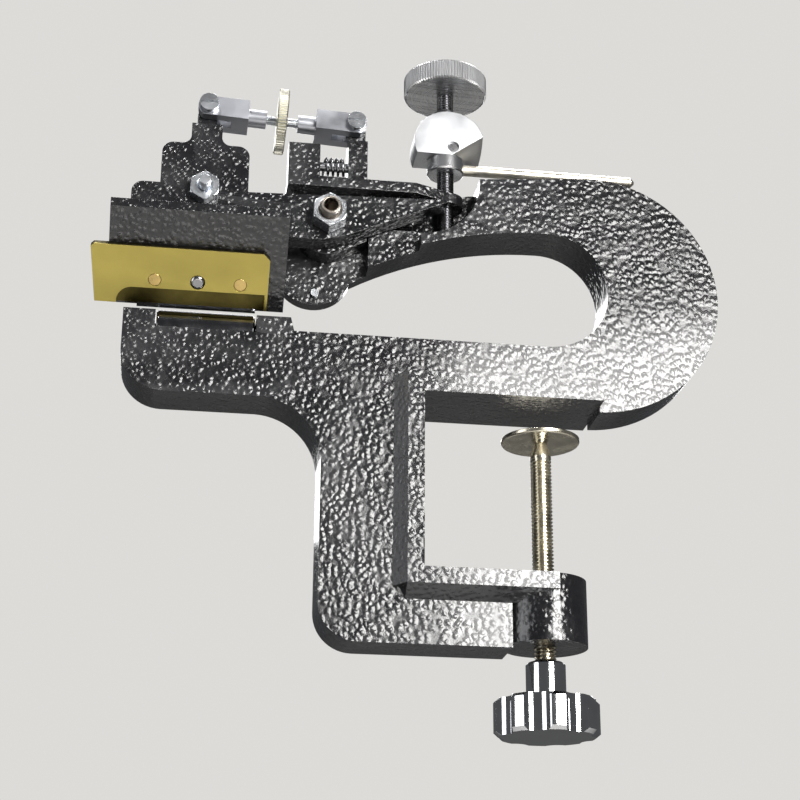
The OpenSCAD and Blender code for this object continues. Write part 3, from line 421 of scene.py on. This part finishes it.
def finish_piece(name, bm, material, node_names, body, smooth=35.0):
    """Turns a bmesh into a finished piece that rides on a body and stands for CAD nodes."""
    mesh = bpy.data.meshes.new(name)
    bmesh.ops.recalc_face_normals(bm, faces=bm.faces[:])
    bm.to_mesh(mesh)
    bm.free()
    mesh.shade_smooth()
    mesh.set_sharp_from_angle(angle=math.radians(smooth))
    mesh.materials.append(material)
    piece = bpy.data.objects.new(name, mesh)
    bpy.context.scene.collection.objects.link(piece)
    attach(piece, body)
    if node_names:
        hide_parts(*node_names)
    return piece


def paint(node, finish):
    """Gives a CAD node that is shown as it is one of the finishes."""
    slots = frame["nodes"][node].data.materials
    slots.clear()
    slots.append(MATERIALS[finish])


def new_verts(result):
    """The vertices that an operator made."""
    return [g for g in result["geom"] if isinstance(g, bmesh.types.BMVert)]


def merged_copy(node):
    """A bmesh of a node with its loose triangles joined and its flats made whole again."""
    bm = bmesh.new()
    bm.from_mesh(frame["nodes"][node].data)
    bmesh.ops.remove_doubles(bm, verts=bm.verts[:], dist=2e-6)
    bmesh.ops.dissolve_degenerate(bm, edges=bm.edges[:], dist=2e-6)
    bmesh.ops.dissolve_limit(bm, angle_limit=math.radians(0.7), use_dissolve_boundaries=False,
                             verts=bm.verts[:], edges=bm.edges[:], delimit={"NORMAL"})
    return bm


def rounded_node(name, node, body, material, width, segments=2, limit=32.0, smooth=35.0):
    """A copy of a node whose sharp edges are broken, as on a cast or turned piece."""
    piece = finish_piece(name, merged_copy(node), material, [node], body, smooth)
    soften(piece, width, segments, limit)
    return piece


def soften(piece, width, segments, limit):
    """Live rounding of a piece's sharp edges, with its flats kept flat."""
    edges = piece.modifiers.new("edges", "BEVEL")
    edges.limit_method = "ANGLE"
    edges.angle_limit = math.radians(limit)
    edges.width = width
    edges.segments = segments
    edges.profile = 0.5
    edges.use_clamp_overlap = True
    edges.miter_outer = "MITER_ARC"
    flats = piece.modifiers.new("flats", "WEIGHTED_NORMAL")
    flats.mode = "FACE_AREA"
    flats.weight = 90
    flats.keep_sharp = False


def threaded_bar(radius, depth, pitch, z0, z1, steps, chamfer):
    """A screw thread about Z: one flank line is spun with a rise of a pitch a turn."""
    bm = bmesh.new()
    turns = int((z1 - z0) / pitch) + 3
    points = []
    for i in range(turns):
        z = z0 - pitch * 1.5 + i * pitch
        points += [(radius - depth, z), (radius - depth, z + pitch * ROOT_FLAT),
                   (radius, z + pitch * CREST_FROM), (radius, z + pitch * CREST_TO)]
    points.append((radius - depth, z0 - pitch * 1.5 + turns * pitch))
    verts = [bm.verts.new((r, 0.0, z)) for r, z in points]
    edges = [bm.edges.new(pair) for pair in zip(verts, verts[1:])]
    bmesh.ops.spin(bm, geom=verts + edges, cent=(0, 0, 0), axis=UP,
                   dvec=(0, 0, pitch / steps), angle=math.tau, steps=steps)
    bmesh.ops.remove_doubles(bm, verts=bm.verts[:], dist=pitch * 0.01)
    for z, sign in ((z0, -1), (z1, 1)):
        bmesh.ops.bisect_plane(bm, geom=bm.verts[:] + bm.edges[:] + bm.faces[:], dist=1e-7,
                               plane_co=(0, 0, z), plane_no=(0, 0, sign), clear_outer=True)
        rim = [e for e in bm.edges if e.is_boundary
               and all(abs(v.co.z - z) < pitch * 0.05 for v in e.verts)]
        bmesh.ops.contextual_create(bm, geom=rim)
        if chamfer:
            for v in bm.verts:
                near = (z - v.co.z) * sign
                if near < chamfer:
                    cap = radius - chamfer + near
                    out = v.co.xy.length
                    if out > cap > 0:
                        v.co.x *= cap / out
                        v.co.y *= cap / out
    return bm


def lathe(profile, steps=96):
    """A closed turned shape from a list of (radius, height) that starts and ends on the axis."""
    bm = bmesh.new()
    verts = [bm.verts.new((r, 0.0, z)) for r, z in profile]
    edges = [bm.edges.new(pair) for pair in zip(verts, verts[1:])]
    bmesh.ops.spin(bm, geom=verts + edges, cent=(0, 0, 0), axis=UP, dvec=(0, 0, 0),
                   angle=math.tau, steps=steps, use_merge=True)
    bmesh.ops.remove_doubles(bm, verts=bm.verts[:], dist=1e-6)
    return bm


def join_into(bm, other):
    """Adds the shape of one bmesh to another."""
    mesh = bpy.data.meshes.new("joined")
    other.to_mesh(mesh)
    other.free()
    bm.from_mesh(mesh)
    bpy.data.meshes.remove(mesh)


def place(bm, matrix):
    """Moves a whole bmesh."""
    bmesh.ops.transform(bm, matrix=matrix, verts=bm.verts[:])


def ribbed_disc(radius, thickness, ribs, depth, chamfer):
    """A disc with straight knurls round its rim and broken rims."""
    bm = bmesh.new()
    bmesh.ops.create_circle(bm, cap_ends=True, segments=ribs * 4, radius=radius)
    ring = sorted(bm.verts, key=lambda v: math.atan2(v.co.y, v.co.x))
    for i, v in enumerate(ring):
        fall = (0.0, 0.25, 1.0, 0.25)[i % 4] * depth
        v.co *= (radius - fall) / radius
    face = bm.faces[:]
    bmesh.ops.translate(bm, verts=bm.verts[:], vec=(0, 0, -thickness / 2))
    up = bmesh.ops.extrude_face_region(bm, geom=face)
    bmesh.ops.translate(bm, verts=new_verts(up), vec=(0, 0, thickness))
    bm.normal_update()
    for cap in [f for f in bm.faces if abs(f.normal.z) > 0.9]:
        z = cap.calc_center_median().z
        bmesh.ops.inset_individual(bm, faces=[cap], thickness=chamfer, depth=0.0,
                                   use_even_offset=False)
        for v in cap.verts:
            v.co.z = z
        keep = set(cap.verts)
        for v in bm.verts:
            if abs(v.co.z - z) < 1e-7 and v not in keep:
                v.co.z = z - math.copysign(chamfer, z)
    return bm


# ------------------------------------------------------------------ operators

class SPLITTER_OT_castings(bpy.types.Operator):
    """Round the edges of the three castings and give them hammered enamel"""
    bl_idname = "splitter.castings"
    bl_label = "Castings"

    def execute(self, context):
        settings = context.scene.splitter_casting
        for node, body in (("frame_casting", "frame"), ("lift_arm", "lift_arm"),
                           ("blade_holder", "blade_head")):
            wide = settings.edge_round * (1.0 if node == "frame_casting" else 0.75)
            piece = rounded_node("enamelled_" + node, node, body,
                                 MATERIALS["enamel"], wide, 3)
            if node == "frame_casting":
                self.right_lug(piece)
        return {"FINISHED"}

    def right_lug(self, piece):
        """Widens the lug beside the roller to its full foot, with a leaning outer side."""
        near, top = span("roller")[1].x + LUG_GAP, LUG_TOP + SKIN
        outline = [(near, LUG_TOP - LUG_H), (near, top), (near + LUG_TOP_W, top),
                   (near + LUG_FOOT_W, LUG_TOP - LUG_FOOT_H), (near + LUG_FOOT_W, LUG_TOP - LUG_H)]
        bm = bmesh.new()
        bm.from_mesh(piece.data)
        face = bm.faces.new([bm.verts.new((x, -LUG_DEPTH / 2 - SKIN, z)) for x, z in outline])
        back = bmesh.ops.extrude_face_region(bm, geom=[face])
        bmesh.ops.translate(bm, vec=(0, LUG_DEPTH + 2 * SKIN, 0), verts=new_verts(back))
        bmesh.ops.recalc_face_normals(bm, faces=bm.faces[:])
        bm.to_mesh(piece.data)
        bm.free()


class SPLITTER_OT_clamp(bpy.types.Operator):
    """Make the threaded clamp screw, its pad and its lobed knob"""
    bl_idname = "splitter.clamp"
    bl_label = "Clamp screw"

    def execute(self, context):
        threads = context.scene.splitter_threads
        pad_low, pad_high = (corner.z for corner in span("swivel_pad")[:2])
        radius = (SCREW_HIGH.x - SCREW_LOW.x) / 2
        thread_top = pad_low - NECK_H
        bm = threaded_bar(radius, radius * 0.20, threads.clamp_pitch,
                          SCREW_LOW.z + 0.0001, thread_top, threads.steps, 0.0)
        neck = lathe([
            (0, thread_top - 0.0015), (radius * NECK_SHOULDER, thread_top - 0.0015),
            (radius * NECK_FULL, thread_top - 0.0004), (radius * NECK_FULL, thread_top + 0.0006),
            (radius * NECK_MID, thread_top + 0.0030), (radius * NECK_THIN, pad_low - 0.0001),
            (radius * NECK_PIN, pad_high - 0.0006), (radius * NECK_SHOULDER, pad_high - 0.0005),
            (radius * NECK_MID, pad_high - 0.0001), (0, pad_high - 0.00005)], 64)
        join_into(bm, neck)
        place(bm, Matrix.Translation((SCREW_MID.x, SCREW_MID.y, 0)))
        finish_piece("clamp_screw_thread", bm, MATERIALS["nickel"], ["clamp_screw"],
                     "clamp_screw", 28.0)
        rounded_node("swivel_pad_turned", "swivel_pad", "pad",
                     MATERIALS["nickel"], 0.00022, 3)
        rounded_node("lobed_knob", "clamp_knob", "clamp_screw",
                     MATERIALS["chrome"], 0.0010, 4)
        return {"FINISHED"}


class SPLITTER_OT_roller(bpy.types.Operator):
    """Polish the roller and its axle"""
    bl_idname = "splitter.roller"
    bl_label = "Roller"

    def execute(self, context):
        rounded_node("polished_roller", "roller", "roller",
                     MATERIALS["roller"], 0.0003, 3)
        paint("roller_axle", "roller")
        return {"FINISHED"}


class SPLITTER_OT_blade(bpy.types.Operator):
    """Dress the blade, its brushed brass plate, pins and stud"""
    bl_idname = "splitter.blade"
    bl_label = "Blade and plate"

    def execute(self, context):
        rounded_node("brass_plate", "clamp_plate", "blade_head",
                     MATERIALS["brass"], 0.00030, 3)
        rounded_node("brass_pins", "blade_pins", "blade_head",
                     MATERIALS["pin"], 0.00030, 3)
        rounded_node("stud_end", "plate_stud", "blade_head",
                     MATERIALS["stud"], 0.00120, 5)
        paint("razor_blade", "blade")
        paint("stud_nut", "zinc")
        return {"FINISHED"}


class SPLITTER_OT_turnbuckle(bpy.types.Operator):
    """Make the clevises, the threaded rod and the knurled wheel"""
    bl_idname = "splitter.turnbuckle"
    bl_label = "Turnbuckle"

    def execute(self, context):
        scene = context.scene
        threads, knurls = scene.splitter_threads, scene.splitter_knurls
        for side in ("left", "right"):
            rounded_node(side + "_clevis_bar", side + "_clevis", side + "_clevis",
                         MATERIALS["satin"], 0.00035, 3)
            rounded_node(side + "_clevis_screw", side + "_clevis_pin",
                         "blade_head" if side == "left" else "lift_arm",
                         MATERIALS["zinc"], 0.00018, 2)
        joint = next(j for j in frame["joints"] if j["name"] == "taper_wheel_turn")
        axis = Vector(joint["axis"]).normalized()
        turn = Vector(UP).rotation_difference(axis).to_matrix().to_4x4()
        rod_low, rod_high, rod_mid = span("turnbuckle_rod")
        length = (rod_high.x - rod_low.x) / abs(axis.x) * 0.995
        radius = (rod_high.y - rod_low.y) / 2
        rod = threaded_bar(radius, radius * 0.18, threads.rod_pitch, -length / 2, length / 2,
                           threads.steps, radius * 0.2)
        place(rod, Matrix.Translation(rod_mid) @ turn)
        finish_piece("threaded_rod", rod, MATERIALS["zinc"], ["turnbuckle_rod"], "wheel",
                     28.0)
        wheel_r = (WHEEL_HIGH.y - WHEEL_LOW.y) / 2
        wheel_t = (WHEEL_HIGH.x - WHEEL_LOW.x - 2 * wheel_r * abs(axis.z)) / abs(axis.x)
        wheel = ribbed_disc(wheel_r, wheel_t, knurls.wheel_ribs, knurls.rib_depth * 1.3, 0.0004)
        place(wheel, Matrix.Translation(WHEEL_MID) @ turn)
        finish_piece("ribbed_wheel", wheel, MATERIALS["wheel_nickel"], ["knurled_wheel"], "wheel",
                     30.0)
        return {"FINISHED"}


class SPLITTER_OT_thickness(bpy.types.Operator):
    """Make the thickness knob and spindle, and finish the block and the lever"""
    bl_idname = "splitter.thickness"
    bl_label = "Thickness screw"

    def execute(self, context):
        scene = context.scene
        threads, knurls = scene.splitter_threads, scene.splitter_knurls
        knob_r = (KNOB_HIGH.x - KNOB_LOW.x) / 2
        knob_t = KNOB_HIGH.z - KNOB_LOW.z
        knob = ribbed_disc(knob_r, knob_t, knurls.knob_ribs, knurls.rib_depth, 0.0006)
        place(knob, Matrix.Translation(KNOB_MID))
        finish_piece("ribbed_knob", knob, MATERIALS["turned"], ["thickness_knob"], "spindle",
                     30.0)
        block_low, block_high = span("cam_block")[:2]
        bm = threaded_bar(SPINDLE_R, SPINDLE_R * 0.16, threads.spindle_pitch,
                          SPINDLE_LOW.z + 0.0002, KNOB_LOW.z + 0.001, threads.steps, 0.0008)
        flange_r = (SPINDLE_HIGH.x - SPINDLE_LOW.x) / 2
        low = block_high.z + 0.0003
        join_into(bm, lathe([
            (0, low), (flange_r - FLANGE_CHAMFER, low), (flange_r, low + FLANGE_CHAMFER),
            (flange_r, low + 0.0012), (flange_r - 0.0004, low + FLANGE_H),
            (0, low + FLANGE_H)], 72))
        place(bm, Matrix.Translation((SPINDLE_MID.x, SPINDLE_MID.y, 0)))
        finish_piece("spindle_thread", bm, MATERIALS["spindle"], ["thickness_spindle"], "spindle",
                     28.0)
        piece = finish_piece("cam_block_ground", self.cam_block(block_low, block_high),
                             MATERIALS["block"], ["cam_block"], "frame")
        soften(piece, 0.0004, 3, 40.0)
        rounded_node("lever_collar_turned", "lever_collar", "lever",
                     MATERIALS["turned"], 0.0004, 3)
        rounded_node("lever_bar", "lever_rod", "lever",
                     MATERIALS["rod"], 0.0007, 4, 20.0)
        paint("block_screw", "dark")
        return {"FINISHED"}

    def cam_block(self, low, high):
        """A disc on edge with a flat below, one corner ground off and a socket in its face."""
        screw_low, screw_high, screw = span("block_screw")
        flat = low.z
        centre = Vector((low.x + BLOCK_R, (low.y + high.y) / 2, high.z - BLOCK_R))
        bm = bmesh.new()
        bmesh.ops.create_cone(bm, cap_ends=True, segments=144, radius1=BLOCK_R,
                              radius2=BLOCK_R, depth=high.y - low.y)
        place(bm, Matrix.Translation(centre) @ Matrix.Rotation(math.pi / 2, 4, "X"))
        corner = [Vector((centre.x + GRIND_IN, low.y, flat)),
                  Vector((centre.x + BLOCK_R * GRIND_OUT, low.y, centre.z + BLOCK_R * GRIND_UP)),
                  Vector((centre.x + BLOCK_R * GRIND_BACK, high.y, flat))]
        facing = (corner[1] - corner[0]).cross(corner[2] - corner[0])
        if facing.z > 0:
            facing.negate()
        for point, normal in (((0, 0, flat), (0, 0, -1)), (corner[0], facing)):
            bmesh.ops.bisect_plane(bm, geom=bm.verts[:] + bm.edges[:] + bm.faces[:], dist=1e-7,
                                   plane_co=point, plane_no=normal, clear_outer=True)
            bmesh.ops.contextual_create(bm, geom=[e for e in bm.edges if e.is_boundary])
        bm.normal_update()
        front = max(bm.faces, key=lambda f: -f.normal.y * f.calc_area())
        rim = front.edges[:]
        bmesh.ops.delete(bm, geom=[front], context="FACES_ONLY")
        ring = bmesh.ops.create_circle(bm, cap_ends=False, segments=40,
                                       radius=(screw_high.x - screw_low.x) / 2)["verts"]
        bmesh.ops.transform(bm, verts=ring, matrix=Matrix.Translation((screw.x, low.y, screw.z))
                            @ Matrix.Rotation(math.pi / 2, 4, "X"))
        hole = list({e for v in ring for e in v.link_edges})
        bmesh.ops.triangle_fill(bm, use_beauty=True, edges=rim + hole)
        wall = bmesh.ops.extrude_edge_only(bm, edges=hole)
        bmesh.ops.translate(bm, vec=(0, SOCKET_H, 0), verts=new_verts(wall))
        bmesh.ops.contextual_create(bm, geom=[e for e in bm.edges if e.is_boundary])
        return bm


class SPLITTER_OT_fasteners(bpy.types.Operator):
    """Finish the nuts, bolts, dowel and pins"""
    bl_idname = "splitter.fasteners"
    bl_label = "Fasteners"

    def execute(self, context):
        for node, body, finish in (("pivot_nut", "frame", "zinc"), ("pivot_bolt", "frame", "bolt"),
                                   ("tower_nut", "blade_head", "zinc"),
                                   ("tower_bolt", "blade_head", "zinc")):
            rounded_node(node + "_plated", node, body, MATERIALS[finish], 0.0003, 2)
        paint("arm_dowel", "zinc")
        paint("spring_pin", "dark")
        return {"FINISHED"}


class SPLITTER_OT_spring(bpy.types.Operator):
    """Wind the round wire of the post spring"""
    bl_idname = "splitter.spring"
    bl_label = "Post spring"

    def execute(self, context):
        low, high, middle = span("post_spring")
        mean = (high.y - low.y) / 2 - WIRE_R
        start, end = low.x + SPRING_END, high.x - SPRING_END
        steps = SPRING_TURNS * SPRING_STEPS
        bm = bmesh.new()
        bmesh.ops.create_circle(bm, cap_ends=False, segments=12, radius=WIRE_R)
        place(bm, Matrix.Translation((start, middle.y, middle.z - mean)) @
              Matrix.Rotation(math.pi / 2, 4, "X"))
        bmesh.ops.spin(bm, geom=bm.verts[:] + bm.edges[:], cent=(0, middle.y, middle.z),
                       axis=(1, 0, 0), dvec=((end - start) / steps, 0, 0),
                       angle=math.tau * SPRING_TURNS, steps=steps)
        rims = [e for e in bm.edges if e.is_boundary]
        bmesh.ops.contextual_create(bm, geom=rims)
        bmesh.ops.holes_fill(bm, edges=[e for e in bm.edges if e.is_boundary], sides=20)
        finish_piece("wound_spring", bm, MATERIALS["spring"], ["post_spring"], "lift_arm",
                     40.0)
        return {"FINISHED"}


class SPLITTER_OT_stage(bpy.types.Operator):
    """Set the floor, the lights and the camera"""
    bl_idname = "splitter.stage"
    bl_label = "Stage"

    def execute(self, context):
        settings = context.scene.splitter_stage
        self.floor(settings)
        self.lights(context, settings)
        self.camera(context)
        return {"FINISHED"}

    def floor(self, settings):
        """A wide pale plane that glows a little where the camera sees it."""
        mat, tree, body = shader("pale_floor")
        clouds = noise(tree, object_coords(tree), 2.0, 3.0)
        tone = ramp(tree, clouds, [(0.2, tuple(c * 0.96 for c in settings.backdrop[:3])),
                                   (0.8, settings.backdrop)])
        tree.links.new(tone, body.inputs["Base Color"])
        body.inputs["Roughness"].default_value = 0.9
        body.inputs["Emission Color"].default_value = settings.backdrop
        seen = tree.nodes.new("ShaderNodeLightPath")
        tree.links.new(spread(tree, seen.outputs["Is Camera Ray"], FLOOR_GLOW,
                              FLOOR_GLOW_SEEN, 0.0, 1.0),
                       body.inputs["Emission Strength"])
        bm = bmesh.new()
        bmesh.ops.create_grid(bm, x_segments=1, y_segments=1, size=FLOOR_HALF)
        place(bm, Matrix.Translation((0, 0, FLOOR_Z)))
        mesh = bpy.data.meshes.new("pale_floor")
        bm.to_mesh(mesh)
        bm.free()
        mesh.materials.append(mat)
        ground = bpy.data.objects.new("pale_floor", mesh)
        bpy.context.scene.collection.objects.link(ground)

    def lights(self, context, settings):
        """A dim sky behind a pale backdrop, and the soft lights."""
        world = bpy.data.worlds.new("studio")
        context.scene.world = world
        world.use_nodes = True
        tree = world.node_tree
        sky = tree.nodes["Background"]
        sky.inputs["Color"].default_value = SKY
        sky.inputs["Strength"].default_value = SKY_STRENGTH
        pale = add(tree, "ShaderNodeBackground", Strength=1.0)
        pale.inputs["Color"].default_value = settings.backdrop
        seen = tree.nodes.new("ShaderNodeLightPath")
        both = tree.nodes.new("ShaderNodeMixShader")
        tree.links.new(seen.outputs["Is Camera Ray"], both.inputs["Fac"])
        tree.links.new(sky.outputs["Background"], both.inputs[1])
        tree.links.new(pale.outputs["Background"], both.inputs[2])
        tree.links.new(both.outputs["Shader"], tree.nodes["World Output"].inputs["Surface"])
        context.scene.view_settings.view_transform = "Standard"
        for name, where, size, share, colour in LAMPS:
            lamp = bpy.data.lights.new(name, "AREA")
            lamp.shape = "RECTANGLE"
            lamp.size, lamp.size_y = size
            lamp.energy = settings.key_power * share
            lamp.color = colour
            holder = bpy.data.objects.new(name, lamp)
            holder.location = where
            aim = Vector(LAMP_AIM) - Vector(where)
            holder.rotation_euler = aim.to_track_quat("-Z", "Y").to_euler()
            context.scene.collection.objects.link(holder)

    def camera(self, context):
        """The place from which the machine is looked at."""
        lens = bpy.data.cameras.new("camera")
        lens.sensor_width, lens.lens = SENSOR, LENS
        holder = bpy.data.objects.new("camera", lens)
        context.scene.collection.objects.link(holder)
        look = Vector(CAMERA_LOOK)
        roll = Matrix.Rotation(math.radians(CAMERA_ROLL), 3, "Z").to_quaternion()
        holder.rotation_mode = "QUATERNION"
        holder.rotation_quaternion = look.to_track_quat("-Z", "Y") @ roll
        holder.location = CAMERA_AT
        context.scene.camera = holder


class SPLITTER_PT_panel(bpy.types.Panel):
    """Steps that dress the leather splitter"""
    bl_idname = "SPLITTER_PT_panel"
    bl_label = "Leather splitter"
    bl_space_type = "VIEW_3D"
    bl_region_type = "UI"
    bl_category = "Splitter"

    def draw(self, context):
        for step in STEPS:
            self.layout.operator(step.bl_idname)


STEPS = (SPLITTER_OT_castings, SPLITTER_OT_clamp, SPLITTER_OT_roller, SPLITTER_OT_blade,
         SPLITTER_OT_turnbuckle, SPLITTER_OT_thickness, SPLITTER_OT_fasteners,
         SPLITTER_OT_spring, SPLITTER_OT_stage)
SETTINGS = (("splitter_casting", CastingSettings), ("splitter_threads", ThreadSettings),
            ("splitter_plate", PlateSettings), ("splitter_knurls", KnurlSettings),
            ("splitter_stage", StageSettings))


def register():
    for name, group in SETTINGS:
        bpy.utils.register_class(group)
        setattr(bpy.types.Scene, name, PointerProperty(type=group))
    for step in STEPS:
        bpy.utils.register_class(step)
    bpy.utils.register_class(SPLITTER_PT_panel)


def unregister():
    bpy.utils.unregister_class(SPLITTER_PT_panel)
    for step in reversed(STEPS):
        bpy.utils.unregister_class(step)
    for name, group in reversed(SETTINGS):
        delattr(bpy.types.Scene, name)
        bpy.utils.unregister_class(group)


def main():
    """Runs every step in order."""
    register()
    build_materials()
    for step in STEPS:
        family, action = step.bl_idname.split(".")
        getattr(getattr(bpy.ops, family), action)()


if __name__ == "__main__":
    main()
